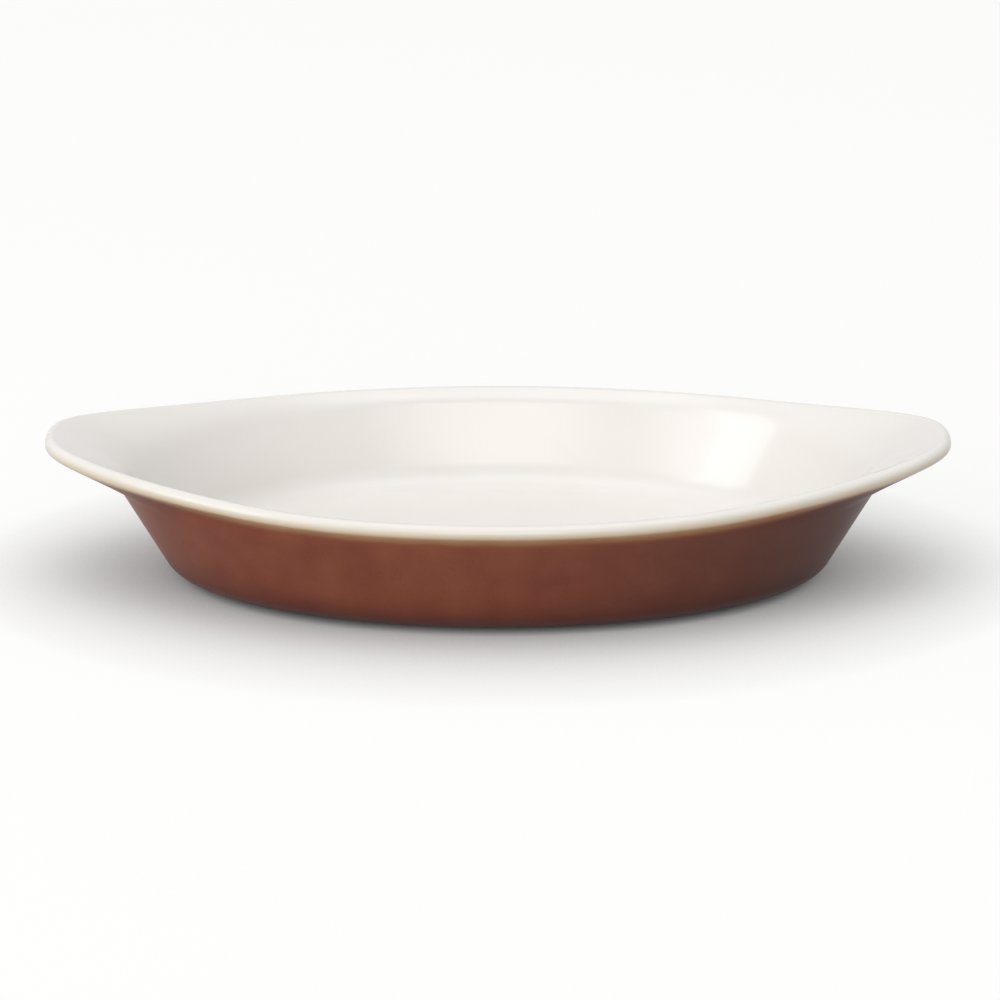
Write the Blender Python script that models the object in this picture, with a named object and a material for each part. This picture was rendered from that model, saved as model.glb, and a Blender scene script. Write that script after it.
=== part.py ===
"""An oval rarebit dish: one pressed stoneware body with two ears, under three glazes.

Units are metres, +Z is up, and +X runs along the dish from ear to ear. The origin is on
the table, under the middle of the dish. The clay is a loft of sections, one for each turn
of the oval, and each section runs from the inside floor up the wall, over the lip and
down to the foot. Each coat of glaze is a shell over the stretch of clay that it covers.
"""

import math

import bmesh
import bpy
from mathutils import Vector

MM = 0.001

# Sizes over the glaze
OVERALL_LENGTH = 228 * MM  # ear tip to ear tip
OVERALL_WIDTH = 118 * MM  # across the lip, at the middle
OVAL_LENGTH = 199 * MM  # along the lip's oval, if it had no ears
RIM_HEIGHT = 30.9 * MM  # table to the top of the lip, at the middle of a side

# Ears
EAR_RISE = 5.7 * MM  # ear tip above the lip at the middle of a side
EAR_TIP_WIDTH = 13.5 * MM  # the ear has its full reach over this width
EAR_ROOT_WIDTH = 88 * MM  # the lip leaves the oval where it is this wide
RISE_POWER = 3.0  # 1 climbs in a straight line from the middle, and more climbs nearer the ears

# Clay
BASE_LENGTH = 164 * MM  # of the bottom's oval, where the walls would meet the base unrounded
BASE_WIDTH = 99 * MM
WALL_THICKNESS = 2.9 * MM
FLOOR_THICKNESS = 4.2 * MM
COVE_RADIUS = 9 * MM  # inside, between floor and wall
CORNER_RADIUS = 6.5 * MM  # outside, between wall and base
LIP_RADIUS = 1.05 * MM
LIP_FLARE = 0.9 * MM  # how far the lip stands out past the line of the wall
MOUTH_DROP = 1.9 * MM  # lip's centre to where the wall starts to turn into the lip, inside
EAR_MOUTH_DROP = 5 * MM  # the same, where the wall starts to turn into an ear
MOUTH_TURN_START = 34 * MM  # from the middle, where the mouth starts to drop to the ears' depth
MOUTH_TURN_END = 82 * MM  # and where it has it
UNDERCUT_DROP = 4.6 * MM  # lip's centre to where the wall starts to turn into the lip, outside

# Foot
FOOT_HEIGHT = 1.8 * MM
FOOT_WIDTH = 3.6 * MM
FOOT_DRAFT = 0.5 * MM  # each side of the foot ring narrows by this much towards the table
BASE_FLAT = 4 * MM  # between the outside corner and the foot ring

# Glazes
GLAZE_THICKNESS = 0.5 * MM
COAT_GAP = 0.3 * MM  # between a coat and the clay, and between two coats
AMBER_WIDTH = 2 * MM  # the line round the lip where the two glazes run together
CREAM_EDGE = math.radians(5)  # angle round the lip, above level, where the cream stops
BARE_MARGIN = 1.2 * MM  # clay wiped clean of glaze beside the foot ring

# Mesh
SECTIONS = 72
COVE_STEPS = 5
MOUTH_STEPS = 5
CREAM_LIP_STEPS = 5
AMBER_STEPS = 3
UNDERCUT_STEPS = 4
CORNER_STEPS = 4
FRAME_STEP = math.radians(1)  # turn to each side that gives the lip its direction
SHARP_ANGLE = math.radians(35)

# Worked out from the sizes above
COAT_BUILD = COAT_GAP + GLAZE_THICKNESS
LIP_TO_OUTSIDE = LIP_RADIUS + COAT_BUILD
LIP_HEIGHT = RIM_HEIGHT - LIP_TO_OUTSIDE
LIP_HALF_LENGTH = OVAL_LENGTH / 2 - LIP_TO_OUTSIDE
LIP_HALF_WIDTH = OVERALL_WIDTH / 2 - LIP_TO_OUTSIDE
EAR_REACH = (OVERALL_LENGTH - OVAL_LENGTH) / 2
RISE_END = OVERALL_LENGTH / 2 - LIP_TO_OUTSIDE
FLOOR_HEIGHT = FOOT_HEIGHT + FLOOR_THICKNESS
SEAM_ANGLE = COAT_GAP / LIP_RADIUS
AMBER_ANGLE = AMBER_WIDTH / LIP_TO_OUTSIDE

# Where the round of the lip starts: at the sides it takes up the wall, on the ears their top
LIP_START_SIDE = math.radians(128)
LIP_START_EAR = math.radians(106)

# A curve's handles, as shares of the distance that it spans
MOUTH_WALL_HANDLE = 0.3
MOUTH_LIP_HANDLE = 0.5
UNDERCUT_LIP_HANDLE = 0.5
UNDERCUT_WALL_HANDLE = 0.14

UP = Vector((0, 0, 1))
COATS = ("bare", "cream", "amber", "brown", "base")
COAT_LAYER = "coat"


def oval_normal(turn):
    """The level direction straight out of the bottom's oval."""
    return Vector((BASE_WIDTH * math.cos(turn), BASE_LENGTH * math.sin(turn), 0)).normalized()


def oval_point(turn, out, height):
    """A point at this height, this far outside the bottom's oval."""
    edge = Vector((BASE_LENGTH / 2 * math.cos(turn), BASE_WIDTH / 2 * math.sin(turn), height))
    return edge + oval_normal(turn) * out


def lip_out(turn):
    """How far the lip's oval stands outside the bottom's oval, square to the bottom's."""
    start = oval_point(turn, 0, 0)
    out = oval_normal(turn)
    a = (out.x / LIP_HALF_LENGTH) ** 2 + (out.y / LIP_HALF_WIDTH) ** 2
    b = start.x * out.x / LIP_HALF_LENGTH**2 + start.y * out.y / LIP_HALF_WIDTH**2
    c = (start.x / LIP_HALF_LENGTH) ** 2 + (start.y / LIP_HALF_WIDTH) ** 2 - 1
    return (math.sqrt(b * b - a * c) - b) / a


def wall_slope(turn):
    """How far out the wall leans for each unit that it climbs."""
    return (lip_out(turn) + LIP_RADIUS - LIP_FLARE) / (LIP_HEIGHT - FOOT_HEIGHT)


def wall_direction(turn):
    """Up the wall."""
    return (oval_normal(turn) * wall_slope(turn) + UP).normalized()


def wall_point(turn, height, depth=0.0):
    """A point of the wall's outer face at this height, or this deep in the wall."""
    level_depth = depth * math.hypot(1, wall_slope(turn))
    return oval_point(turn, (height - FOOT_HEIGHT) * wall_slope(turn) - level_depth, height)


def eased(share):
    """The share kept within 0 and 1, and with a soft start and end."""
    share = min(1, max(0, share))
    return share * share * (3 - 2 * share)


def ear_share(turn):
    """The share of its reach that the ear has here: 1 at its tip and 0 beside its root."""
    across = abs(oval_point(turn, lip_out(turn), 0).y)
    return eased((EAR_ROOT_WIDTH / 2 - across) / (EAR_ROOT_WIDTH / 2 - EAR_TIP_WIDTH / 2))


def mouth_drop(turn):
    """How far below the lip's centre the inside of the wall starts to turn outwards."""
    along = abs(oval_point(turn, lip_out(turn), 0).x)
    share = eased((along - MOUTH_TURN_START) / (MOUTH_TURN_END - MOUTH_TURN_START))
    return MOUTH_DROP + (EAR_MOUTH_DROP - MOUTH_DROP) * share


def lip_centre(turn):
    """The centre of the lip's round, pushed out along the ears and climbing to their tips."""
    point = oval_point(turn, lip_out(turn), LIP_HEIGHT)
    point.x += math.copysign(EAR_REACH * ear_share(turn), point.x)
    point.z += EAR_RISE * abs(point.x / RISE_END) ** RISE_POWER
    return point


def lip_frame(turn):
    """The directions out of the lip and up from it, square to its run."""
    run = (lip_centre(turn + FRAME_STEP) - lip_centre(turn - FRAME_STEP)).normalized()
    out = run.cross(UP).normalized()
    return out, out.cross(run)


def lip_arc(turn, start, end, steps):
    """Points round the lip from one angle to another, both measured from level outwards."""
    centre = lip_centre(turn)
    out, up = lip_frame(turn)
    angles = [start + (end - start) * i / steps for i in range(steps + 1)]
    return [centre + (out * math.cos(a) + up * math.sin(a)) * LIP_RADIUS for a in angles]


def lip_heading(turn, angle):
    """The direction round the lip, from inside to outside, at this angle."""
    out, up = lip_frame(turn)
    return out * math.sin(angle) - up * math.cos(angle)


def corner_length(turn, radius):
    """From where a level floor and the wall would meet to where their round starts."""
    return radius * math.tan((math.pi / 2 - math.atan(wall_slope(turn))) / 2)


def floor_arc(turn, meeting, radius, steps):
    """The round that turns a level floor into the wall. Unrounded, the two have this meeting."""
    out = oval_normal(turn)
    centre = meeting - out * corner_length(turn, radius) + UP * radius
    sweep = math.pi / 2 - math.atan(wall_slope(turn))
    angles = [sweep * i / steps - math.pi / 2 for i in range(steps + 1)]
    return [centre + (out * math.cos(a) + UP * math.sin(a)) * radius for a in angles]


def bezier(start, start_handle, end_handle, end, steps):
    """The points between start and end on a cubic curve, without its two ends."""
    points = []
    for i in range(1, steps):
        t = i / steps
        s = 1 - t
        point = start * s**3 + start_handle * 3 * s * s * t + end_handle * 3 * s * t * t + end * t**3
        points.append(point)
    return points


def inside_stations(turn):
    """From the inside floor up the cove and the wall to the top of the lip."""
    cove = floor_arc(turn, wall_point(turn, FLOOR_HEIGHT, WALL_THICKNESS), COVE_RADIUS, COVE_STEPS)
    mouth = wall_point(turn, LIP_HEIGHT - mouth_drop(turn), WALL_THICKNESS)
    lip_start = LIP_START_SIDE + (LIP_START_EAR - LIP_START_SIDE) * ear_share(turn)
    lip = lip_arc(turn, lip_start, CREAM_EDGE, CREAM_LIP_STEPS)
    span = (lip[0] - mouth).length
    top = bezier(
        mouth,
        mouth + wall_direction(turn) * span * MOUTH_WALL_HANDLE,
        lip[0] - lip_heading(turn, lip_start) * span * MOUTH_LIP_HANDLE,
        lip[0],
        MOUTH_STEPS,
    )
    return cove + [mouth] + top + lip


def amber_stations(turn):
    """Round the outside of the lip."""
    start = CREAM_EDGE - SEAM_ANGLE
    return lip_arc(turn, start, start - AMBER_ANGLE, AMBER_STEPS)


def outside_stations(turn):
    """From under the lip down the wall and round the corner to the edge of the glaze."""
    lip_end = CREAM_EDGE - SEAM_ANGLE - AMBER_ANGLE - SEAM_ANGLE
    lip = lip_arc(turn, lip_end, lip_end, 1)[0]
    wall = wall_point(turn, LIP_HEIGHT - UNDERCUT_DROP)
    span = (wall - lip).length
    underside = bezier(
        lip,
        lip + lip_heading(turn, lip_end) * span * UNDERCUT_LIP_HANDLE,
        wall + wall_direction(turn) * span * UNDERCUT_WALL_HANDLE,
        wall,
        UNDERCUT_STEPS,
    )
    corner = floor_arc(turn, wall_point(turn, FOOT_HEIGHT), CORNER_RADIUS, CORNER_STEPS)
    glaze_edge = oval_point(turn, foot_out(turn) + BARE_MARGIN, FOOT_HEIGHT)
    return [lip] + underside + [wall] + corner[::-1] + [glaze_edge]


def foot_out(turn):
    """The foot ring's outer edge, from the bottom's oval."""
    return -corner_length(turn, CORNER_RADIUS) - BASE_FLAT


def foot_stations(turn):
    """Down the outside of the foot ring, over its flat and up its inside."""
    outer = foot_out(turn)
    inner = outer - FOOT_WIDTH
    return [
        oval_point(turn, outer, FOOT_HEIGHT),
        oval_point(turn, outer - FOOT_DRAFT, 0),
        oval_point(turn, inner + FOOT_DRAFT, 0),
        oval_point(turn, inner, FOOT_HEIGHT),
    ]


def section(turn):
    """One section as (point, coat on the clay between this point and the next)."""
    base_edge = oval_point(turn, foot_out(turn) - FOOT_WIDTH - BARE_MARGIN, FOOT_HEIGHT)
    stretches = [
        ("cream", inside_stations(turn)),
        ("amber", amber_stations(turn)),
        ("brown", outside_stations(turn)),
        ("bare", foot_stations(turn)),
        ("base", [base_edge]),
    ]
    stations = []
    for coat, points in stretches:
        stations += [(point, coat) for point in points]
        stations[-1] = (points[-1], "bare")  # the clay shows between this coat and the next
    return stations


def new_material(name, colour, roughness, coat_weight):
    """A material from a colour written as sRGB, each part from 0 to 1."""
    material = bpy.data.materials.new(name)
    material.use_nodes = True
    shader = material.node_tree.nodes["Principled BSDF"]
    linear = [((part + 0.055) / 1.055) ** 2.4 for part in colour]
    shader.inputs["Base Color"].default_value = (*linear, 1)
    shader.inputs["Roughness"].default_value = roughness
    shader.inputs["Coat Weight"].default_value = coat_weight
    return material


def new_object(name, shape, material):
    """An object of a bmesh, shaded smooth but for its sharp edges."""
    mesh = bpy.data.meshes.new(name)
    shape.to_mesh(mesh)
    shape.free()
    mesh.materials.append(material)
    mesh.shade_smooth()
    mesh.set_sharp_from_angle(angle=SHARP_ANGLE)
    made = bpy.data.objects.new(name, mesh)
    bpy.context.scene.collection.objects.link(made)
    return made


def add_body(material):
    """The clay: the sections joined in a ring, closed by the floor inside and the base below."""
    shape = bmesh.new()
    mark = shape.faces.layers.int.new(COAT_LAYER)
    sections = [section(2 * math.pi * i / SECTIONS) for i in range(SECTIONS)]
    rows = [[shape.verts.new(point) for point, _ in stations] for stations in sections]
    coats = [COATS.index(coat) for _, coat in sections[0]]
    for here, there in zip(rows, rows[1:] + rows[:1]):
        for i in range(len(here) - 1):
            face = shape.faces.new((here[i], here[i + 1], there[i + 1], there[i]))
            face[mark] = coats[i]
    floor = shape.faces.new([row[0] for row in rows])
    floor[mark] = COATS.index("cream")
    base = shape.faces.new([row[-1] for row in reversed(rows)])
    base[mark] = COATS.index("base")
    bmesh.ops.recalc_face_normals(shape, faces=shape.faces)
    return new_object("stoneware_body", shape, material)


def add_coat(name, body, coat, material):
    """A shell of glaze over the faces of the clay that are marked with this coat."""
    shape = bmesh.new()
    shape.from_mesh(body.data)
    shape.normal_update()
    for vert, lifted in [(v, v.co + v.normal * COAT_GAP) for v in shape.verts]:
        vert.co = lifted
    mark = shape.faces.layers.int[COAT_LAYER]
    others = [face for face in shape.faces if face[mark] != COATS.index(coat)]
    bmesh.ops.delete(shape, geom=others, context="FACES")
    shell = new_object(name, shape, material)
    thicken = shell.modifiers.new("glaze", "SOLIDIFY")
    thicken.thickness = GLAZE_THICKNESS
    thicken.offset = 1
    thicken.use_even_offset = True


def main():
    for old in list(bpy.data.objects):
        bpy.data.objects.remove(old)
    stoneware = new_material("bare_stoneware", (0.80, 0.71, 0.59), 0.85, 0)
    cream = new_material("cream_glaze", (0.95, 0.94, 0.90), 0.12, 0.5)
    amber = new_material("amber_glaze", (0.72, 0.52, 0.33), 0.15, 0.5)
    brown = new_material("brown_glaze", (0.48, 0.28, 0.22), 0.2, 0.5)
    body = add_body(stoneware)
    add_coat("cream_glaze_inside", body, "cream", cream)
    add_coat("amber_glaze_lip_line", body, "amber", amber)
    add_coat("brown_glaze_outside", body, "brown", brown)
    add_coat("brown_glaze_base", body, "base", brown)


main()
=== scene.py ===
"""The looks of an oval rarebit dish: fired stoneware under a cream, an amber and a brown glaze.

Units are metres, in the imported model's frame: +Z is up, and +X runs along the dish from ear
to ear. Every node is replaced by a finer piece of the same shape. The sections follow the
same rules as the solids' own, with more points, with a rounded foot ring, and with glazes
that are fused to the clay, meet each other on the lip and thin out beside the foot ring.
"""

import math

import bmesh
import bpy
import numpy as np
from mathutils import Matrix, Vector


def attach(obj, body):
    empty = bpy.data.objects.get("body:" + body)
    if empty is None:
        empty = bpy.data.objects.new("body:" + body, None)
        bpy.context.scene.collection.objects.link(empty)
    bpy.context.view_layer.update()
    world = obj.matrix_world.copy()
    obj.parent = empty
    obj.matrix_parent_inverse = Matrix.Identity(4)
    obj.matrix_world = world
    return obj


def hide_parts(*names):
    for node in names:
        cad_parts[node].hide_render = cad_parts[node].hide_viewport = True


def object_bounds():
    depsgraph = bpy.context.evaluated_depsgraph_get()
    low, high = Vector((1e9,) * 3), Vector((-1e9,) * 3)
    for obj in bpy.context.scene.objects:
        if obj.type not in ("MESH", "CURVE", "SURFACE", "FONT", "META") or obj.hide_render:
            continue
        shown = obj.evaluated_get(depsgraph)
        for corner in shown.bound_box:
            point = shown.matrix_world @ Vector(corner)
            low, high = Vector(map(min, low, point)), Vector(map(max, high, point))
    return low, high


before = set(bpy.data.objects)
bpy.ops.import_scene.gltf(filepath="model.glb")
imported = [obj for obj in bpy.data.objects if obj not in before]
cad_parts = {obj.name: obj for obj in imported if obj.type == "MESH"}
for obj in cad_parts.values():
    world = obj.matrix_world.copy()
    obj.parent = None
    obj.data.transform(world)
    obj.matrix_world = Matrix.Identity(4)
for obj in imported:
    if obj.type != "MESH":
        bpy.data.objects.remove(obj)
cad_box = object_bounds()

MM = 0.001
UP = Vector((0, 0, 1))

# Sizes over the glaze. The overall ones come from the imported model, less a hair's breadth
INSET = 0.02 * MM
OVERALL_LENGTH = cad_box[1].x - cad_box[0].x - 2 * INSET
OVERALL_WIDTH = cad_box[1].y - cad_box[0].y - 2 * INSET
OVERALL_HEIGHT = cad_box[1].z - cad_box[0].z - INSET
OVAL_LENGTH = 199 * MM  # along the lip's oval, if it had no ears
RIM_HEIGHT = 30.9 * MM  # table to the top of the lip, at the middle of a side

# Ears
EAR_RISE = OVERALL_HEIGHT - RIM_HEIGHT  # ear tip above the lip at the middle of a side
EAR_TIP_WIDTH = 13.5 * MM  # the ear has its full reach over this width
EAR_ROOT_WIDTH = 88 * MM  # the lip leaves the oval where it is this wide
RISE_POWER = 3.0  # 1 climbs in a straight line from the middle, and more climbs nearer the ears

# Clay
BASE_LENGTH = 164 * MM  # of the bottom's oval, where the walls would meet the base unrounded
BASE_WIDTH = 99 * MM
WALL_THICKNESS = 2.9 * MM
FLOOR_THICKNESS = 4.2 * MM
COVE_RADIUS = 9 * MM  # inside, between floor and wall
CORNER_RADIUS = 6.5 * MM  # outside, between wall and base
LIP_RADIUS = 1.05 * MM
LIP_FLARE = 0.9 * MM  # how far the lip stands out past the line of the wall
MOUTH_DROP = 1.9 * MM  # lip's centre to where the wall starts to turn into it, inside
EAR_MOUTH_DROP = 5 * MM  # the same, on the ears
MOUTH_TURN_START = 34 * MM  # from the middle, where the mouth starts to drop to the ears' depth
MOUTH_TURN_END = 82 * MM  # and where it has it
UNDERCUT_DROP = 4.6 * MM  # lip's centre to where the wall starts to turn into it, outside

# Foot
FOOT_HEIGHT = 1.8 * MM
FOOT_WIDTH = 3.6 * MM
FOOT_DRAFT = 0.5 * MM  # each side of the foot ring narrows by this much towards the table
FOOT_ROUND = 0.6 * MM  # how far from each of the ring's corners its rounding starts
BASE_FLAT = 4 * MM  # between the outside corner and the foot ring

# Glazes
COAT_BUILD = 0.8 * MM  # how far a glaze's face stands off the clay
COAT_SINK = 0.03 * MM  # how far its back lies in the clay, so that the two are fused
AMBER_WIDTH = 2 * MM  # the line round the lip where the two glazes run together
CREAM_EDGE = math.radians(5)  # angle round the lip, above level, where the cream stops
BARE_MARGIN = 1.2 * MM  # clay wiped clean of glaze beside the foot ring
THINNING = 1.4 * MM  # how far from the wiped clay a glaze has its full thickness

# Mesh
SECTIONS = 240
FLOOR_RINGS = (0.1, 0.3, 0.5, 0.7, 0.85, 0.95)  # as shares of the way to the cove
COVE_STEPS = 16
MOUTH_STEPS = 14
CREAM_LIP_STEPS = 24
AMBER_STEPS = 10
UNDERCUT_STEPS = 14
WALL_STEPS = 5
CORNER_STEPS = 12
FLAT_STEPS = 12
ROUND_STEPS = 4
FRAME_STEP = math.radians(1)  # turn to each side that gives the lip its direction

# Worked out from the sizes above
LIP_TO_OUTSIDE = LIP_RADIUS + COAT_BUILD
LIP_HEIGHT = RIM_HEIGHT - LIP_TO_OUTSIDE
LIP_HALF_LENGTH = OVAL_LENGTH / 2 - LIP_TO_OUTSIDE
LIP_HALF_WIDTH = OVERALL_WIDTH / 2 - LIP_TO_OUTSIDE
EAR_REACH = (OVERALL_LENGTH - OVAL_LENGTH) / 2
RISE_END = OVERALL_LENGTH / 2 - LIP_TO_OUTSIDE
FLOOR_HEIGHT = FOOT_HEIGHT + FLOOR_THICKNESS
AMBER_END = CREAM_EDGE - AMBER_WIDTH / LIP_TO_OUTSIDE

# Where the round of the lip starts: at the sides it takes up the wall, on the ears their top
LIP_START_SIDE = math.radians(128)
LIP_START_EAR = math.radians(106)

# A curve's handles, as shares of the distance that it spans
MOUTH_WALL_HANDLE = 0.3
MOUTH_LIP_HANDLE = 0.5
UNDERCUT_LIP_HANDLE = 0.5
UNDERCUT_WALL_HANDLE = 0.14


# The dish's own shape

def oval_normal(turn):
    """The level direction straight out of the bottom's oval."""
    return Vector((BASE_WIDTH * math.cos(turn), BASE_LENGTH * math.sin(turn), 0)).normalized()


def oval_point(turn, out, height):
    """A point at this height, this far outside the bottom's oval."""
    edge = Vector((BASE_LENGTH / 2 * math.cos(turn), BASE_WIDTH / 2 * math.sin(turn), height))
    return edge + oval_normal(turn) * out


def lip_out(turn):
    """How far the lip's oval stands outside the bottom's oval, square to the bottom's."""
    start = oval_point(turn, 0, 0)
    out = oval_normal(turn)
    a = (out.x / LIP_HALF_LENGTH) ** 2 + (out.y / LIP_HALF_WIDTH) ** 2
    b = start.x * out.x / LIP_HALF_LENGTH**2 + start.y * out.y / LIP_HALF_WIDTH**2
    c = (start.x / LIP_HALF_LENGTH) ** 2 + (start.y / LIP_HALF_WIDTH) ** 2 - 1
    return (math.sqrt(b * b - a * c) - b) / a


def wall_slope(turn):
    """How far out the wall leans for each unit that it climbs."""
    return (lip_out(turn) + LIP_RADIUS - LIP_FLARE) / (LIP_HEIGHT - FOOT_HEIGHT)


def wall_direction(turn):
    """Up the wall."""
    return (oval_normal(turn) * wall_slope(turn) + UP).normalized()


def wall_point(turn, height, depth=0.0):
    """A point of the wall's outer face at this height, or this deep in the wall."""
    level_depth = depth * math.hypot(1, wall_slope(turn))
    return oval_point(turn, (height - FOOT_HEIGHT) * wall_slope(turn) - level_depth, height)


def eased(share):
    """The share kept within 0 and 1, and with a soft start and end."""
    share = min(1, max(0, share))
    return share * share * (3 - 2 * share)


def ear_share(turn):
    """The share of its reach that the ear has here: 1 at its tip and 0 beside its root."""
    across = abs(oval_point(turn, lip_out(turn), 0).y)
    share = (EAR_ROOT_WIDTH / 2 - across) / (EAR_ROOT_WIDTH / 2 - EAR_TIP_WIDTH / 2)
    return eased(share)


def mouth_drop(turn):
    """How far below the lip's centre the inside of the wall starts to turn outwards."""
    along = abs(oval_point(turn, lip_out(turn), 0).x)
    share = eased((along - MOUTH_TURN_START) / (MOUTH_TURN_END - MOUTH_TURN_START))
    return MOUTH_DROP + (EAR_MOUTH_DROP - MOUTH_DROP) * share


def lip_centre(turn):
    """The centre of the lip's round, pushed out along the ears and climbing to their tips."""
    point = oval_point(turn, lip_out(turn), LIP_HEIGHT)
    point.x += math.copysign(EAR_REACH * ear_share(turn), point.x)
    point.z += EAR_RISE * abs(point.x / RISE_END) ** RISE_POWER
    return point


def lip_frame(turn):
    """The directions out of the lip and up from it, square to its run."""
    run = (lip_centre(turn + FRAME_STEP) - lip_centre(turn - FRAME_STEP)).normalized()
    out = run.cross(UP).normalized()
    return out, out.cross(run)


def spread(start, end, steps):
    """Evenly spaced values from start to end, both included."""
    return [start + (end - start) * (i / steps) for i in range(steps + 1)]


def lip_arc(turn, start, end, steps):
    """Points round the lip from one angle to another, both measured from level outwards."""
    centre = lip_centre(turn)
    out, up = lip_frame(turn)
    angles = spread(start, end, steps)
    return [centre + (out * math.cos(a) + up * math.sin(a)) * LIP_RADIUS for a in angles]


def lip_heading(turn, angle):
    """The direction round the lip, from inside to outside, at this angle."""
    out, up = lip_frame(turn)
    return out * math.sin(angle) - up * math.cos(angle)


def corner_length(turn, radius):
    """From where a level floor and the wall would meet to where their round starts."""
    return radius * math.tan((math.pi / 2 - math.atan(wall_slope(turn))) / 2)


def floor_arc(turn, meeting, radius, steps):
    """The round that turns a level floor into the wall. Unrounded, the two have this meeting."""
    out = oval_normal(turn)
    centre = meeting - out * corner_length(turn, radius) + UP * radius
    angles = spread(-math.pi / 2, -math.atan(wall_slope(turn)), steps)
    return [centre + (out * math.cos(a) + UP * math.sin(a)) * radius for a in angles]


def bezier(start, start_handle, end_handle, end, steps):
    """Points on a cubic curve, both ends included."""
    points = []
    for t in spread(0, 1, steps):
        s = 1 - t
        points.append(
            start * s**3
            + start_handle * 3 * s * s * t
            + end_handle * 3 * s * t * t
            + end * t**3
        )
    return points


def rounded(corners, distance, steps):
    """A path through these corners, each rounded from this distance before it to the same after."""
    path = [corners[0]]
    for before, corner, after in zip(corners, corners[1:], corners[2:]):
        start = corner + (before - corner).normalized() * distance
        end = corner + (after - corner).normalized() * distance
        for t in spread(0, 1, steps):
            path.append(start * (1 - t) ** 2 + corner * 2 * t * (1 - t) + end * t * t)
    return path + [corners[-1]]


def foot_out(turn):
    """The foot ring's outer edge, from the bottom's oval."""
    return -corner_length(turn, CORNER_RADIUS) - BASE_FLAT


def cream_points(turn):
    """From near the middle of the floor over the cove, up the wall and over the top of the lip."""
    cove = floor_arc(turn, wall_point(turn, FLOOR_HEIGHT, WALL_THICKNESS), COVE_RADIUS, COVE_STEPS)
    middle = Vector((0, 0, FLOOR_HEIGHT))
    floor = [middle.lerp(cove[0], share) for share in FLOOR_RINGS]
    mouth = wall_point(turn, LIP_HEIGHT - mouth_drop(turn), WALL_THICKNESS)
    wall = spread(cove[-1], mouth, WALL_STEPS)
    lip_start = LIP_START_SIDE + (LIP_START_EAR - LIP_START_SIDE) * ear_share(turn)
    lip = lip_arc(turn, lip_start, CREAM_EDGE, CREAM_LIP_STEPS)
    span = (lip[0] - mouth).length
    top = bezier(
        mouth,
        mouth + wall_direction(turn) * span * MOUTH_WALL_HANDLE,
        lip[0] - lip_heading(turn, lip_start) * span * MOUTH_LIP_HANDLE,
        lip[0],
        MOUTH_STEPS,
    )
    return floor + cove + wall[1:] + top[1:] + lip[1:]


def amber_points(turn):
    """Round the outside of the lip."""
    return lip_arc(turn, CREAM_EDGE, AMBER_END, AMBER_STEPS)


def brown_points(turn):
    """From under the lip down the wall and round the corner to the edge of the glaze."""
    lip = amber_points(turn)[-1]
    wall_top = wall_point(turn, LIP_HEIGHT - UNDERCUT_DROP)
    span = (wall_top - lip).length
    underside = bezier(
        lip,
        lip + lip_heading(turn, AMBER_END) * span * UNDERCUT_LIP_HANDLE,
        wall_top + wall_direction(turn) * span * UNDERCUT_WALL_HANDLE,
        wall_top,
        UNDERCUT_STEPS,
    )
    corner = floor_arc(turn, wall_point(turn, FOOT_HEIGHT), CORNER_RADIUS, CORNER_STEPS)[::-1]
    wall = spread(wall_top, corner[0], WALL_STEPS)
    glaze_edge = oval_point(turn, foot_out(turn) + BARE_MARGIN, FOOT_HEIGHT)
    flat = spread(corner[-1], glaze_edge, FLAT_STEPS)
    return underside + wall[1:] + corner[1:] + flat[1:]


def bare_points(turn):
    """The wiped clay: over the foot ring, with its four corners rounded."""
    outer = foot_out(turn)
    inner = outer - FOOT_WIDTH
    corners = [
        oval_point(turn, outer + BARE_MARGIN, FOOT_HEIGHT),
        oval_point(turn, outer, FOOT_HEIGHT),
        oval_point(turn, outer - FOOT_DRAFT, 0),
        oval_point(turn, inner + FOOT_DRAFT, 0),
        oval_point(turn, inner, FOOT_HEIGHT),
        oval_point(turn, inner - BARE_MARGIN, FOOT_HEIGHT),
    ]
    return rounded(corners, FOOT_ROUND, ROUND_STEPS)


def base_points(turn):
    """The recessed underside, from the edge of its glaze to near its middle."""
    edge = oval_point(turn, foot_out(turn) - FOOT_WIDTH - BARE_MARGIN, FOOT_HEIGHT)
    full = oval_point(turn, foot_out(turn) - FOOT_WIDTH - BARE_MARGIN - THINNING, FOOT_HEIGHT)
    middle = Vector((0, 0, FOOT_HEIGHT))
    rings = [middle.lerp(full, share) for share in reversed(FLOOR_RINGS)]
    return spread(edge, full, FLAT_STEPS) + rings


# Grids of points: one row a section, one column a station, from the floor to the base

STRETCHES = (
    ("cream", cream_points),
    ("amber", amber_points),
    ("brown", brown_points),
    ("bare", bare_points),
    ("base", base_points),
)


def clay_grid():
    """The clay's surface, and each stretch's first and last station on it."""
    rows = []
    for i in range(SECTIONS):
        turn = 2 * math.pi * i / SECTIONS
        row = []
        stations = {}
        for stretch, points in STRETCHES:
            made = points(turn)
            first = max(0, len(row) - 1)  # it starts on the last station of the one before
            row += made if not row else made[1:]
            stations[stretch] = (first, len(row) - 1)
        rows.append(row)
    return np.array(rows), stations


def facing(grid):
    """The direction straight out of the surface at each point of a grid."""
    along = np.roll(grid, -1, axis=0) - np.roll(grid, 1, axis=0)
    down_the_section = np.gradient(grid, axis=1)
    out = np.cross(down_the_section, along)
    return out / np.linalg.norm(out, axis=2, keepdims=True)


def run_from(grid, station):
    """How far each point lies along its section from this station."""
    steps = np.linalg.norm(np.diff(grid, axis=1), axis=2)
    run = np.concatenate([np.zeros((len(grid), 1)), np.cumsum(steps, axis=1)], axis=1)
    return run - run[:, station:station + 1]


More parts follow.
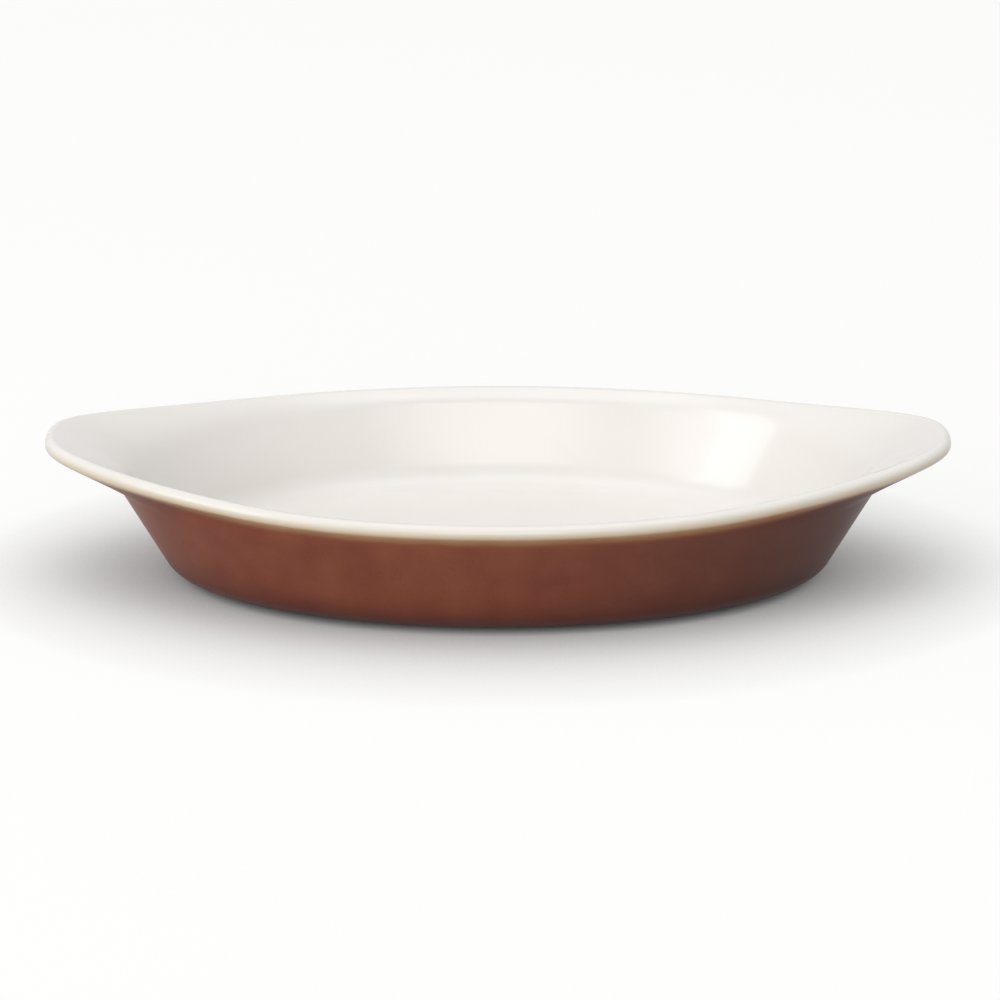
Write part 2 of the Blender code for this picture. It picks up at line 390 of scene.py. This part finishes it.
CLAY, STATIONS = clay_grid()
CLAY_OUT = facing(CLAY)
EDGE_RUN = np.minimum(
    np.abs(run_from(CLAY, STATIONS["brown"][1])), np.abs(run_from(CLAY, STATIONS["base"][0]))
)  # from the nearest edge of a glaze beside the foot ring
THINNED = 1 - np.minimum(EDGE_RUN / THINNING, 1)  # 0 where a glaze is full, and 1 at its edge
THICKNESS = COAT_BUILD * np.sqrt(1 - THINNED**2)  # a quarter round down to the clay
GLAZE = CLAY + CLAY_OUT * THICKNESS[:, :, None]
GLAZE_OUT = facing(GLAZE)
GLAZE_BACK = CLAY - CLAY_OUT * COAT_SINK
LIP_RUN = run_from(GLAZE, STATIONS["amber"][0])  # from the edge of the cream, outwards and down


def add_piece(name, node, material, points, normals, lip_run, edge_run, ends):
    """A closed piece from a grid. Its first and last station are capped, or else joined."""
    sections, stations = points.shape[:2]
    caps = [points[:, 0].mean(axis=0), points[:, -1].mean(axis=0)] if ends == "capped" else []
    verts = np.concatenate([points.reshape(-1, 3), np.array(caps).reshape(-1, 3)])
    faces = []
    for i in range(sections):
        here = i * stations
        there = (i + 1) % sections * stations
        for k in range(stations if ends == "joined" else stations - 1):
            after = (k + 1) % stations
            faces.append((here + k, here + after, there + after, there + k))
        if ends == "capped":
            first_cap = sections * stations
            faces.append((first_cap, here, there))
            faces.append((here + stations - 1, first_cap + 1, there + stations - 1))
    mesh = bpy.data.meshes.new(name)
    mesh.from_pydata(verts.tolist(), [], faces)
    mesh.shade_smooth()
    cap_normals = [normals[0, 0], normals[0, -1]] if ends == "capped" else []
    all_normals = np.concatenate([normals.reshape(-1, 3), np.array(cap_normals).reshape(-1, 3)])
    mesh.normals_split_custom_set_from_vertices(all_normals.tolist())
    for layer, values in (("lip_run", lip_run), ("edge_run", edge_run)):
        cap_values = [values[0, 0], values[0, -1]] if ends == "capped" else []
        attribute = mesh.attributes.new(layer, "FLOAT", "POINT")
        attribute.data.foreach_set("value", np.concatenate([values.ravel(), cap_values]))
    mesh.materials.append(material)
    piece = bpy.data.objects.new(name, mesh)
    bpy.context.scene.collection.objects.link(piece)
    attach(piece, "root")
    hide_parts(node)
    return piece


def add_glaze(name, node, material, coat):
    """A coat of glaze: its face, and its back in the clay."""
    first, last = STATIONS[coat]
    face = slice(first, last + 1)
    back = slice(last, first - 1 if first else None, -1)
    order = [(GLAZE, GLAZE_OUT, face), (GLAZE_BACK, -CLAY_OUT, back)]
    if coat == "base":  # its face ends in the middle, where the others' start
        order = [(GLAZE_BACK, -CLAY_OUT, back), (GLAZE, GLAZE_OUT, face)]
    points = np.concatenate([grid[:, part] for grid, _, part in order], axis=1)
    normals = np.concatenate([out[:, part] for _, out, part in order], axis=1)
    lip_run = np.concatenate([LIP_RUN[:, part] for _, _, part in order], axis=1)
    edge_run = np.concatenate([EDGE_RUN[:, part] for _, _, part in order], axis=1)
    ends = "joined" if coat in ("amber", "brown") else "capped"
    return add_piece(name, node, material, points, normals, lip_run, edge_run, ends)


# Materials

def colour(code):
    """Six hex digits of sRGB as the linear colour that shaders take."""
    parts = [int(code[i:i + 2], 16) / 255 for i in (0, 2, 4)]
    linear = [p / 12.92 if p <= 0.04045 else ((p + 0.055) / 1.055) ** 2.4 for p in parts]
    return (*linear, 1)


def per(size):
    """The texture scale that gives features of this size."""
    return 1 / size


def add(tree, kind, inputs=None, stops=None, **settings):
    """A node with its settings. Each input is a value, or an output socket to link it to."""
    node = tree.nodes.new("ShaderNode" + kind)
    for name, value in settings.items():
        setattr(node, name, value)
    for key, value in (inputs or {}).items():
        if isinstance(value, bpy.types.NodeSocket):
            tree.links.new(value, node.inputs[key])
        else:
            node.inputs[key].default_value = value
    if stops:
        ramp = node.color_ramp
        while len(ramp.elements) < len(stops):
            ramp.elements.new(1)
        for element, (position, code) in zip(ramp.elements, stops):
            element.position = position
            element.color = colour(code)
    return node


def new_material(name):
    """A material with an empty node tree, the tree, and the place on the object in metres."""
    material = bpy.data.materials.new(name)
    material.use_nodes = True
    tree = material.node_tree
    tree.nodes.clear()
    place = add(tree, "TexCoord").outputs["Object"]
    return material, tree, place


def finish_with(tree, shader):
    """The shader is what the material shows."""
    add(tree, "OutputMaterial", {"Surface": shader})


def laid_over(tree, under, over, share):
    """One colour over another, where the share is 1."""
    sockets = {0: share, 6: under, 7: over}  # by number, since names repeat on this node
    return add(tree, "Mix", sockets, data_type="RGBA").outputs[2]


NOISE_MEAN = 0.5
MOTTLE_ENDS = (0.3, 0.7)  # the noise at which a mottled colour is all one tone or the other


def mottled(tree, place, size, detail, tones):
    """A noise with features of this size, and the colour that it gives between two tones."""
    noise = add(tree, "TexNoise", {"Vector": place, "Scale": per(size), "Detail": detail})
    share = noise.outputs["Fac"]
    stops = tuple(zip(MOTTLE_ENDS, tones))
    return share, add(tree, "ValToRGB", {"Fac": share}, stops=stops).outputs["Color"]


SPECK_EDGE = 0.62  # the noise at which a speck starts
SPECK_FULL = 0.74  # and at which it has its full depth


def speckle(tree, place, size, amount):
    """The share of dark specks of this size at each point, at most this amount."""
    noise = add(tree, "TexNoise", {"Vector": place, "Scale": per(size), "Detail": 1.0})
    return add(
        tree,
        "MapRange",
        {
            "Value": noise.outputs["Fac"],
            "From Min": SPECK_EDGE,
            "From Max": SPECK_FULL,
            "To Max": amount,
        },
    ).outputs[0]


BREAK_WAVER = 0.7 * MM  # how far the line between two colours strays to each side
BREAK_WAVE = 14 * MM  # from one stray to the next
CREAM_FADES = -2.4 * MM  # where the cream's own colour starts to give way to these
BROWN_RISES = 4.0 * MM  # and where these start to give way to the brown's own
BREAK_COLOURS = (
    (-0.8 * MM, "FAF5EB"),
    (0.2 * MM, "FBEED8"),
    (1.0 * MM, "FAE2BF"),
    (1.8 * MM, "F5D0A4"),
    (2.4 * MM, "DFAE84"),
    (3.2 * MM, "BB8761"),
    (4.2 * MM, "98613F"),
    (5.2 * MM, "874731"),
)  # all by the distance from the edge of the cream, outwards and down


def lip_break(tree, place):
    """The colour across the lip, from cream over straw and honey to brown, on a wavering line."""
    run = add(tree, "Attribute", attribute_name="lip_run").outputs["Fac"]
    wave = add(tree, "TexNoise", {"Vector": place, "Scale": per(BREAK_WAVE), "Detail": 3.0})
    shift = add(tree, "Math", {0: wave.outputs["Fac"], 1: NOISE_MEAN}, operation="SUBTRACT")
    wavering = add(
        tree,
        "Math",
        {0: shift.outputs[0], 1: 2 * BREAK_WAVER, 2: run},
        operation="MULTIPLY_ADD",
    )
    start = BREAK_COLOURS[0][0]
    end = BREAK_COLOURS[-1][0]
    share = add(
        tree, "MapRange", {"Value": wavering.outputs[0], "From Min": start, "From Max": end}
    )
    stops = [((at - start) / (end - start), code) for at, code in BREAK_COLOURS]
    return add(tree, "ValToRGB", {"Fac": share.outputs[0]}, stops=stops).outputs["Color"]


def ripple(tree, place, wave, height, grain, grain_height):
    """Bump of a fired glaze: long low waves, and under them the fine unevenness of its skin."""
    waves = add(tree, "TexNoise", {"Vector": place, "Scale": per(wave), "Detail": 1.0})
    peel = add(tree, "TexNoise", {"Vector": place, "Scale": per(grain), "Detail": 2.0})
    fine = add(
        tree, "Bump", {"Height": peel.outputs["Fac"], "Distance": grain_height, "Strength": 1.0}
    )
    return add(
        tree,
        "Bump",
        {
            "Height": waves.outputs["Fac"],
            "Distance": height,
            "Strength": 1.0,
            "Normal": fine.outputs["Normal"],
        },
    ).outputs["Normal"]


# The skin of each glaze, for ripple
GLOSSY_SKIN = {
    "wave": 11 * MM, "height": 0.03 * MM, "grain": 1.4 * MM, "grain_height": 0.002 * MM
}
SATIN_SKIN = {
    "wave": 9 * MM, "height": 0.03 * MM, "grain": 1.0 * MM, "grain_height": 0.003 * MM
}

# Glossy glazes
GLOSSY_IOR = 1.52
AMBER_ROUGHNESS = 0.12
CREAM_ROUGHNESS = (0.09, 0.15)  # at its glossiest and at its least glossy
CLOUD_SIZE = 35 * MM  # from one slightly cooler patch of the cream to the next


def cream_glaze():
    """Opaque tin-white glaze, dipped and fired: glossy and even, and warmer over the lip."""
    material, tree, place = new_material("cream_glaze")
    cloud, body = mottled(tree, place, CLOUD_SIZE, detail=3.0, tones=("F6F2EE", "F3EFEA"))
    run = add(tree, "Attribute", attribute_name="lip_run").outputs["Fac"]
    near_lip = add(
        tree, "MapRange", {"Value": run, "From Min": CREAM_FADES, "From Max": BREAK_COLOURS[0][0]}
    )
    base = laid_over(tree, body, lip_break(tree, place), near_lip.outputs[0])
    smoothest, dullest = CREAM_ROUGHNESS
    gloss = add(tree, "MapRange", {"Value": cloud, "To Min": smoothest, "To Max": dullest})
    shader = add(
        tree,
        "BsdfPrincipled",
        {
            "Base Color": base,
            "Roughness": gloss.outputs[0],
            "IOR": GLOSSY_IOR,
            "Normal": ripple(tree, place, **GLOSSY_SKIN),
        },
    )
    finish_with(tree, shader.outputs[0])
    return material


def amber_glaze():
    """Where the cream and the brown glaze run into each other: glossy and honey-coloured."""
    material, tree, place = new_material("amber_glaze")
    shader = add(
        tree,
        "BsdfPrincipled",
        {
            "Base Color": lip_break(tree, place),
            "Roughness": AMBER_ROUGHNESS,
            "IOR": GLOSSY_IOR,
            "Normal": ripple(tree, place, **GLOSSY_SKIN),
        },
    )
    finish_with(tree, shader.outputs[0])
    return material


# Brown glaze
BROWN_IOR = 1.5
BROWN_SPECULAR = 0.28  # less than a clean glass's 0.5, since iron crystals dull the surface
BROWN_ROUGHNESS = (0.32, 0.4)
BLOTCH_SIZE = 12 * MM  # from one lighter patch to the next
IRON_SPECK = 0.7 * MM
IRON_AMOUNT = 0.2
PAINTED_SHADE_AMOUNT = 0.8  # how far the colour goes to the painted shade's dark brown
POOL_AND_PAINTED_SHADE_AMOUNT = 0.9  # how far it goes to the dark brown of pooled glaze and painted shade
POOL_AND_PAINTED_SHADE_WIDTH = 18 * MM  # from the wiped clay up round the corner to where the pooled glaze and painted shade end
PAINTED_SHADE_START = -10 * MM  # along X, where the painted shade towards the +X end starts
PAINTED_SHADE_END = 100 * MM  # and where it is darkest
HALO_WIDTH = 1.0 * MM  # beside the wiped clay, where the glaze is thin and rusty


def brown_glaze():
    """Iron glaze, dipped and fired: semi-glossy, softly mottled, with painted shade.

    Its colour darkens towards the +X end, painted shade in place of light from the -X side,
    and low down round the corner, partly pooled glaze and partly painted shade under it.
    """
    material, tree, place = new_material("brown_glaze")
    blotch, body = mottled(tree, place, BLOTCH_SIZE, detail=4.0, tones=("864330", "95533B"))
    specks = speckle(tree, place, IRON_SPECK, IRON_AMOUNT)
    body = laid_over(tree, body, colour("4A2316"), specks)
    # painted shade: the brown goes towards a dark brown (4A2A24) towards the +X end, in place of
    # light from the -X side
    along = add(tree, "SeparateXYZ", {0: place}).outputs["X"]
    painted_shade = add(
        tree,
        "MapRange",
        {
            "Value": along,
            "From Min": PAINTED_SHADE_START,
            "From Max": PAINTED_SHADE_END,
            "To Max": PAINTED_SHADE_AMOUNT,
        },
        interpolation_type="SMOOTHSTEP",
    ).outputs[0]
    body = laid_over(tree, body, colour("4A2A24"), painted_shade)
    edge = add(tree, "Attribute", attribute_name="edge_run").outputs["Fac"]
    # darker low down and round the corner under the wall: partly pooled glaze, partly painted shade
    # where the corner turns under
    pool_and_painted_shade = add(
        tree,
        "MapRange",
        {
            "Value": edge,
            "From Min": POOL_AND_PAINTED_SHADE_WIDTH,
            "From Max": HALO_WIDTH,
            "To Max": POOL_AND_PAINTED_SHADE_AMOUNT,
        },
        interpolation_type="SMOOTHSTEP",
    ).outputs[0]
    body = laid_over(tree, body, colour("381A12"), pool_and_painted_shade)
    thin = add(tree, "MapRange", {"Value": edge, "From Min": HALO_WIDTH, "From Max": 0.0})
    body = laid_over(tree, body, colour("A06A3C"), thin.outputs[0])
    run = add(tree, "Attribute", attribute_name="lip_run").outputs["Fac"]
    past_lip = add(
        tree, "MapRange", {"Value": run, "From Min": BROWN_RISES, "From Max": BREAK_COLOURS[-1][0]}
    )
    base = laid_over(tree, lip_break(tree, place), body, past_lip.outputs[0])
    smoothest, dullest = BROWN_ROUGHNESS
    gloss = add(tree, "MapRange", {"Value": blotch, "To Min": smoothest, "To Max": dullest})
    shader = add(
        tree,
        "BsdfPrincipled",
        {
            "Base Color": base,
            "Roughness": gloss.outputs[0],
            "IOR": BROWN_IOR,
            "Specular IOR Level": BROWN_SPECULAR,
            "Normal": ripple(tree, place, **SATIN_SKIN),
        },
    )
    finish_with(tree, shader.outputs[0])
    return material


# Bare clay
SAND_GRAIN = 0.5 * MM
SAND_DEPTH = 0.05 * MM
GROG_GRAIN = 0.9 * MM
GROG_AMOUNT = 0.7
CLAY_ROUGHNESS = 0.85


def bare_stoneware():
    """Fired buff clay, wiped clean of glaze: matte, sandy, with darker grains of grog."""
    material, tree, place = new_material("bare_stoneware")
    sand, body = mottled(tree, place, SAND_GRAIN, detail=4.0, tones=("B89C74", "D2BC97"))
    grog = speckle(tree, place, GROG_GRAIN, GROG_AMOUNT)
    body = laid_over(tree, body, colour("7A5B3C"), grog)
    bump = add(tree, "Bump", {"Height": sand, "Distance": SAND_DEPTH, "Strength": 1.0})
    shader = add(
        tree,
        "BsdfPrincipled",
        {
            "Base Color": body,
            "Roughness": CLAY_ROUGHNESS,
            "Normal": bump.outputs["Normal"],
        },
    )
    finish_with(tree, shader.outputs[0])
    return material


# Floor, lights and camera

FLOOR_RADIUS = 4.0
FLOOR_PAINT = "AAAAA9"  # grey, so that it throws little light up on the brown
FLOOR_GLOW = 0.62  # what the paint lacks to white, for what sees it directly
SHADE_REACH = 0.045  # how near the dish takes light off this glow
SHADE_SAMPLES = 4
ZENITH_LEVEL = 1.16  # the world's light from straight above, where 1 is white
WORLD_SHOWN = 1.0  # the world as it is seen directly


def seen_directly(tree):
    """1 for what the camera sees, straight or in a reflection or through glass, and else 0."""
    rays = add(tree, "LightPath").outputs
    straight_or_glossy = add(
        tree, "Math", {0: rays["Is Camera Ray"], 1: rays["Is Glossy Ray"]}, operation="MAXIMUM"
    )
    return add(
        tree,
        "Math",
        {0: straight_or_glossy.outputs[0], 1: rays["Is Transmission Ray"]},
        operation="MAXIMUM",
    ).outputs[0]


def add_floor():
    """A wide board, grey to the light and white to the eye, that keeps the dish's shadow."""
    shape = bmesh.new()
    bmesh.ops.create_circle(shape, cap_ends=True, segments=96, radius=FLOOR_RADIUS)
    mesh = bpy.data.meshes.new("floor")
    shape.to_mesh(mesh)
    shape.free()
    material, tree, _ = new_material("white_board")
    paint = add(tree, "BsdfDiffuse", {"Color": colour(FLOOR_PAINT)})
    shade = add(tree, "AmbientOcclusion", {"Distance": SHADE_REACH}, samples=SHADE_SAMPLES)
    shown = add(
        tree, "Math", {0: seen_directly(tree), 1: shade.outputs["AO"]}, operation="MULTIPLY"
    )
    strength = add(tree, "Math", {0: shown.outputs[0], 1: FLOOR_GLOW}, operation="MULTIPLY")
    glow = add(tree, "Emission", {"Strength": strength.outputs[0]})
    both = add(tree, "AddShader", {0: paint.outputs[0], 1: glow.outputs[0]})
    finish_with(tree, both.outputs[0])
    mesh.materials.append(material)
    floor = bpy.data.objects.new("floor", mesh)
    bpy.context.scene.collection.objects.link(floor)


def set_world():
    """Light that grows from none at the horizon to the zenith, while the world looks white."""
    world = bpy.data.worlds.new("studio")
    world.use_nodes = True
    tree = world.node_tree
    tree.nodes.clear()
    direction = add(tree, "TexCoord").outputs["Generated"]
    height = add(tree, "SeparateXYZ", {0: direction}).outputs["Z"]
    level = add(tree, "MapRange", {"Value": height, "To Max": ZENITH_LEVEL})
    strength = add(tree, "Mix", {0: seen_directly(tree), 2: level.outputs[0], 3: WORLD_SHOWN})
    light = add(tree, "Background", {"Strength": strength.outputs[0]})
    add(tree, "OutputWorld", {"Surface": light.outputs[0]})
    bpy.context.scene.world = world


def add_softbox(name, left, up, distance, size, level, fade):
    """A softbox facing the dish, at angles in degrees, left from the camera and up from level.

    White that faces it gets this level, where 1 is full white. The fade is the share of its
    half width, and of its half height, over which it darkens towards its edges.
    """
    light = bpy.data.lights.new(name, "AREA")
    light.shape = "RECTANGLE"
    light.size, light.size_y = size
    light.use_nodes = True
    tree = light.node_tree
    tree.nodes.clear()
    place = add(tree, "NewGeometry").outputs["Parametric"]  # from 0 to 1 over each side
    half = 0.5
    off_middle = add(tree, "VectorMath", {0: place, 1: (half, half, 0)}, operation="SUBTRACT")
    away_from_it = add(tree, "VectorMath", {0: off_middle.outputs[0]}, operation="ABSOLUTE")
    parts = add(tree, "SeparateXYZ", {0: away_from_it.outputs[0]}).outputs
    across, along = [
        add(
            tree,
            "MapRange",
            {"Value": part, "From Min": half, "From Max": half - half * fade},
            interpolation_type="SMOOTHSTEP",
        ).outputs[0]
        for part in (parts["X"], parts["Y"])
    ]
    share = add(tree, "Math", {0: across, 1: along}, operation="MULTIPLY")
    mean_share = (1 - fade / 2) ** 2  # made up for, so that a fade takes off no light
    brightness = add(
        tree, "Math", {0: share.outputs[0], 1: 1 / mean_share}, operation="MULTIPLY"
    )
    glow = add(tree, "Emission", {"Strength": brightness.outputs[0]})
    add(tree, "OutputLight", {"Surface": glow.outputs[0]})
    light.energy = level * (math.pi * distance) ** 2
    lamp = bpy.data.objects.new(name, light)
    turn, rise = math.radians(left), math.radians(up)
    away = Vector((
        -math.sin(turn) * math.cos(rise),
        -math.cos(turn) * math.cos(rise),
        math.sin(rise),
    ))
    lamp.location = away * distance
    lamp.rotation_euler = away.to_track_quat("Z", "Y").to_euler()
    lamp.visible_camera = False
    bpy.context.scene.collection.objects.link(lamp)


CAMERA_TILT = math.radians(18.68)
CAMERA_DISTANCE = 0.95
CAMERA_LENS = 134.9
SENSOR_WIDTH = 36.0
LOOKED_AT = Vector((0.507 * MM, 0.832 * MM, 17.89 * MM))


def add_camera():
    """The photograph's view: square to the dish's side, from a little above."""
    lens = bpy.data.cameras.new("camera")
    lens.lens = CAMERA_LENS
    lens.sensor_width = SENSOR_WIDTH
    camera = bpy.data.objects.new("camera", lens)
    back = Vector((0, -math.cos(CAMERA_TILT), math.sin(CAMERA_TILT)))
    camera.location = LOOKED_AT + back * CAMERA_DISTANCE
    camera.rotation_euler = back.to_track_quat("Z", "Y").to_euler()
    bpy.context.scene.collection.objects.link(camera)
    bpy.context.scene.camera = camera


brown = brown_glaze()
add_glaze("cream_glaze_fired", "cream_glaze_inside", cream_glaze(), "cream")
add_glaze("amber_glaze_fired", "amber_glaze_lip_line", amber_glaze(), "amber")
add_glaze("brown_glaze_fired_outside", "brown_glaze_outside", brown, "brown")
add_glaze("brown_glaze_fired_base", "brown_glaze_base", brown, "base")
add_piece(
    "stoneware_body_fired",
    "stoneware_body",
    bare_stoneware(),
    CLAY,
    CLAY_OUT,
    LIP_RUN,
    EDGE_RUN,
    "capped",
)
add_floor()
set_world()
add_softbox("window", left=58, up=28, distance=2.0, size=(0.75, 1.5), level=0.14, fade=0.2)
add_softbox("front", left=0, up=16, distance=6.0, size=(6.0, 4.5), level=0.18, fade=0.9)
add_softbox("left", left=48, up=18, distance=6.0, size=(6.0, 4.5), level=0.135, fade=0.9)
add_softbox("overhead", left=0, up=86, distance=6.0, size=(8.0, 6.0), level=0.18, fade=0.8)
add_camera()
bpy.context.scene.view_settings.view_transform = "Standard"
